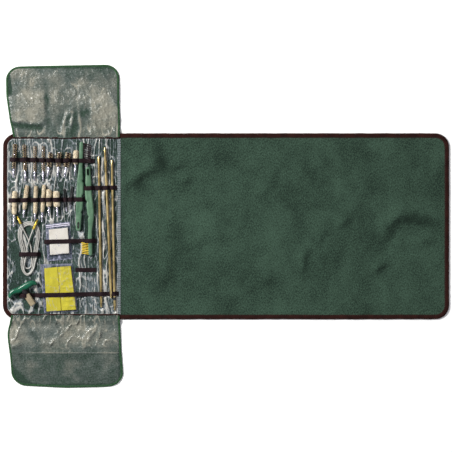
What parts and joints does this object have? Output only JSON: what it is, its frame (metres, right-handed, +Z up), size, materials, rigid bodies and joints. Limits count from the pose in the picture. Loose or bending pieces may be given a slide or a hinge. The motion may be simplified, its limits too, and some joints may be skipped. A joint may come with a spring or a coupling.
{
  "type": "roll-out cleaning mat",
  "caption": "Roll-out felt cleaning mat with a film-lined tool panel, elastic bands holding rods, brushes, mops, a cable and a T-handle, and two fold-over flaps.",
  "frame": {"origin": "centre of the overall bounding box, on the table the mat lies on", "axes": "+X along the mat away from the tool panel, +Y towards the upper flap, +Z up"},
  "size_m": [0.892, 0.646, 0.0184],
  "materials": {
    "felt": "mottled moss-green needled felt",
    "felt_edging": "moss-green felt edging tape",
    "binding_tape": "dark maroon-brown woven tape",
    "clear_film": "crinkled clear film with grey-green cast",
    "seam_strip": "pale stitched strip",
    "elastic": "dark brown-black woven elastic",
    "bronze_bristle": "phosphor-bronze bristle on silvery twisted wire",
    "wool": "cream wool pile on silvery twisted wire",
    "black_plastic": "black moulded plastic",
    "green_nylon": "light green moulded nylon",
    "nylon_bristle": "dark nylon bristle",
    "brass_bristle": "brass wire bristle",
    "brass_rod": "drawn brass rod",
    "handle_green": "deep green moulded plastic",
    "brass_socket": "dull brass block",
    "bag_film": "clear bag film",
    "patch_cotton": "white cotton flannel",
    "yellow_cloth": "yellow cotton flannel",
    "coated_cable": "steel cable in clear grey coating",
    "ferrule_brass": "turned brass"
  },
  "bodies": {
    "mat_panel_2": {"mat_panel_2": "felt", "mat_panel_2_binding": "binding_tape", "fold_strip_2": "felt", "fold_strip_2_binding": "binding_tape"},
    "mat_panel_1": {"mat_panel_1": "felt", "mat_panel_1_binding": "binding_tape", "fold_strip_1": "felt", "fold_strip_1_binding": "binding_tape"},
    "tool_panel": {"tool_panel": "felt", "tool_panel_binding": "binding_tape", "panel_film": "clear_film", "film_seam": "seam_strip", "upper_flap_gusset": "felt", "lower_flap_gusset": "felt", "brush_band": "elastic", "mop_band": "elastic", "rod_band": "elastic", "bag_band": "elastic", "cable_band": "elastic", "spare_band": "elastic", "lower_band": "elastic"},
    "upper_flap": {"upper_flap": "felt", "upper_flap_edging": "felt_edging", "upper_flap_film": "clear_film"},
    "lower_flap": {"lower_flap": "felt", "lower_flap_edging": "felt_edging", "lower_flap_film": "clear_film"},
    "long_bronze_brush_1": {"long_bronze_brush_1": "bronze_bristle"},
    "long_bronze_brush_2": {"long_bronze_brush_2": "bronze_bristle"},
    "long_bronze_brush_3": {"long_bronze_brush_3": "bronze_bristle"},
    "long_bronze_brush_4": {"long_bronze_brush_4": "bronze_bristle"},
    "short_bronze_brush_1": {"short_bronze_brush_1": "bronze_bristle"},
    "short_bronze_brush_2": {"short_bronze_brush_2": "bronze_bristle"},
    "short_bronze_brush_3": {"short_bronze_brush_3": "bronze_bristle"},
    "long_wool_mop_1": {"long_wool_mop_1": "wool"},
    "long_wool_mop_2": {"long_wool_mop_2": "wool"},
    "long_wool_mop_3": {"long_wool_mop_3": "wool"},
    "long_wool_mop_4": {"long_wool_mop_4": "wool"},
    "short_wool_mop_1": {"short_wool_mop_1": "wool"},
    "short_wool_mop_2": {"short_wool_mop_2": "wool"},
    "short_wool_mop_3": {"short_wool_mop_3": "wool"},
    "slotted_tip_1": {"slotted_tip_1": "black_plastic"},
    "slotted_tip_2": {"slotted_tip_2": "black_plastic"},
    "utility_brush_1": {"utility_brush_1_handle": "green_nylon", "utility_brush_1_nylon_bristles": "nylon_bristle"},
    "utility_brush_2": {"utility_brush_2_handle": "green_nylon", "utility_brush_2_brass_bristles": "brass_bristle"},
    "rod_1": {"rod_1": "brass_rod"},
    "rod_2": {"rod_2": "brass_rod"},
    "rod_3": {"rod_3": "brass_rod"},
    "t_handle": {"handle_grip": "handle_green", "handle_collar": "black_plastic", "handle_socket": "brass_socket"},
    "patch_bag": {"patch_bag": "bag_film", "cleaning_patches": "patch_cotton"},
    "cloth_bag": {"cloth_bag": "bag_film", "folded_cloth": "yellow_cloth"},
    "pull_through_cable": {"cable_hank": "coated_cable", "cable_ferrules": "ferrule_brass"}
  },
  "joints": [
    {"name": "mat_fold_2", "type": "hinge", "parent": "mat_panel_2", "child": "mat_panel_1", "pos_m": [0.1305, 0, 0.0164], "axis": [0, 1, 0], "range_deg": [0, 179.5], "deforming": ["fold_strip_2", "fold_strip_2_binding"]},
    {"name": "mat_fold_1", "type": "hinge", "parent": "mat_panel_1", "child": "tool_panel", "pos_m": [-0.194, 0, 0.0134], "axis": [0, 1, 0], "range_deg": [0, 179.5], "deforming": ["fold_strip_1", "fold_strip_1_binding"]},
    {"name": "upper_flap_fold", "type": "hinge", "parent": "tool_panel", "child": "upper_flap", "pos_m": [-0.32, 0.192, 0.0103], "axis": [1, 0, 0], "range_deg": [0, 179.5], "deforming": ["upper_flap_gusset"]},
    {"name": "lower_flap_fold", "type": "hinge", "parent": "tool_panel", "child": "lower_flap", "pos_m": [-0.32, -0.192, 0.0103], "axis": [-1, 0, 0], "range_deg": [0, 179.5], "deforming": ["lower_flap_gusset"]},
    {"name": "lift_long_bronze_brush_1", "type": "slide", "parent": "tool_panel", "child": "long_bronze_brush_1", "axis": [0, 0, -1], "range_m": [-0.045, 0], "deforming": ["brush_band"]},
    {"name": "lift_long_bronze_brush_2", "type": "slide", "parent": "tool_panel", "child": "long_bronze_brush_2", "axis": [0, 0, -1], "range_m": [-0.045, 0], "deforming": ["brush_band"]},
    {"name": "lift_long_bronze_brush_3", "type": "slide", "parent": "tool_panel", "child": "long_bronze_brush_3", "axis": [0, 0, -1], "range_m": [-0.045, 0], "deforming": ["brush_band"]},
    {"name": "lift_long_bronze_brush_4", "type": "slide", "parent": "tool_panel", "child": "long_bronze_brush_4", "axis": [0, 0, -1], "range_m": [-0.045, 0], "deforming": ["brush_band"]},
    {"name": "lift_short_bronze_brush_1", "type": "slide", "parent": "tool_panel", "child": "short_bronze_brush_1", "axis": [0, 0, -1], "range_m": [-0.045, 0], "deforming": ["brush_band"]},
    {"name": "lift_short_bronze_brush_2", "type": "slide", "parent": "tool_panel", "child": "short_bronze_brush_2", "axis": [0, 0, -1], "range_m": [-0.045, 0], "deforming": ["brush_band"]},
    {"name": "lift_short_bronze_brush_3", "type": "slide", "parent": "tool_panel", "child": "short_bronze_brush_3", "axis": [0, 0, -1], "range_m": [-0.045, 0], "deforming": ["brush_band"]},
    {"name": "lift_long_wool_mop_1", "type": "slide", "parent": "tool_panel", "child": "long_wool_mop_1", "axis": [0, 0, -1], "range_m": [-0.045, 0], "deforming": ["mop_band"]},
    {"name": "lift_long_wool_mop_2", "type": "slide", "parent": "tool_panel", "child": "long_wool_mop_2", "axis": [0, 0, -1], "range_m": [-0.045, 0], "deforming": ["mop_band"]},
    {"name": "lift_long_wool_mop_3", "type": "slide", "parent": "tool_panel", "child": "long_wool_mop_3", "axis": [0, 0, -1], "range_m": [-0.045, 0], "deforming": ["mop_band"]},
    {"name": "lift_long_wool_mop_4", "type": "slide", "parent": "tool_panel", "child": "long_wool_mop_4", "axis": [0, 0, -1], "range_m": [-0.045, 0], "deforming": ["mop_band"]},
    {"name": "lift_short_wool_mop_1", "type": "slide", "parent": "tool_panel", "child": "short_wool_mop_1", "axis": [0, 0, -1], "range_m": [-0.045, 0], "deforming": ["mop_band"]},
    {"name": "lift_short_wool_mop_2", "type": "slide", "parent": "tool_panel", "child": "short_wool_mop_2", "axis": [0, 0, -1], "range_m": [-0.045, 0], "deforming": ["mop_band"]},
    {"name": "lift_short_wool_mop_3", "type": "slide", "parent": "tool_panel", "child": "short_wool_mop_3", "axis": [0, 0, -1], "range_m": [-0.045, 0], "deforming": ["brush_band"]},
    {"name": "lift_slotted_tip_1", "type": "slide", "parent": "tool_panel", "child": "slotted_tip_1", "axis": [0, 0, -1], "range_m": [-0.045, 0], "deforming": ["mop_band"]},
    {"name": "lift_slotted_tip_2", "type": "slide", "parent": "tool_panel", "child": "slotted_tip_2", "axis": [0, 0, -1], "range_m": [-0.045, 0], "deforming": ["mop_band"]},
    {"name": "lift_utility_brush_1", "type": "slide", "parent": "tool_panel", "child": "utility_brush_1", "axis": [0, 0, -1], "range_m": [-0.045, 0], "deforming": ["brush_band", "mop_band"]},
    {"name": "lift_utility_brush_2", "type": "slide", "parent": "tool_panel", "child": "utility_brush_2", "axis": [0, 0, -1], "range_m": [-0.045, 0], "deforming": ["rod_band", "bag_band"]},
    {"name": "lift_rod_1", "type": "slide", "parent": "tool_panel", "child": "rod_1", "axis": [0, 0, -1], "range_m": [-0.045, 0], "deforming": ["rod_band", "lower_band"]},
    {"name": "lift_rod_2", "type": "slide", "parent": "tool_panel", "child": "rod_2", "axis": [0, 0, -1], "range_m": [-0.045, 0], "deforming": ["rod_band"]},
    {"name": "lift_rod_3", "type": "slide", "parent": "tool_panel", "child": "rod_3", "axis": [0, 0, -1], "range_m": [-0.045, 0], "deforming": ["rod_band", "lower_band"]},
    {"name": "lift_t_handle", "type": "slide", "parent": "tool_panel", "child": "t_handle", "axis": [0, 0, -1], "range_m": [-0.045, 0], "deforming": ["lower_band"]},
    {"name": "lift_patch_bag", "type": "slide", "parent": "tool_panel", "child": "patch_bag", "axis": [0, 0, -1], "range_m": [-0.045, 0], "deforming": ["bag_band"]},
    {"name": "lift_cloth_bag", "type": "slide", "parent": "tool_panel", "child": "cloth_bag", "axis": [0, 0, -1], "range_m": [-0.045, 0], "deforming": ["lower_band"]},
    {"name": "lift_pull_through_cable", "type": "slide", "parent": "tool_panel", "child": "pull_through_cable", "axis": [0, 0, -1], "range_m": [-0.045, 0], "deforming": ["cable_band"]}
  ]
}
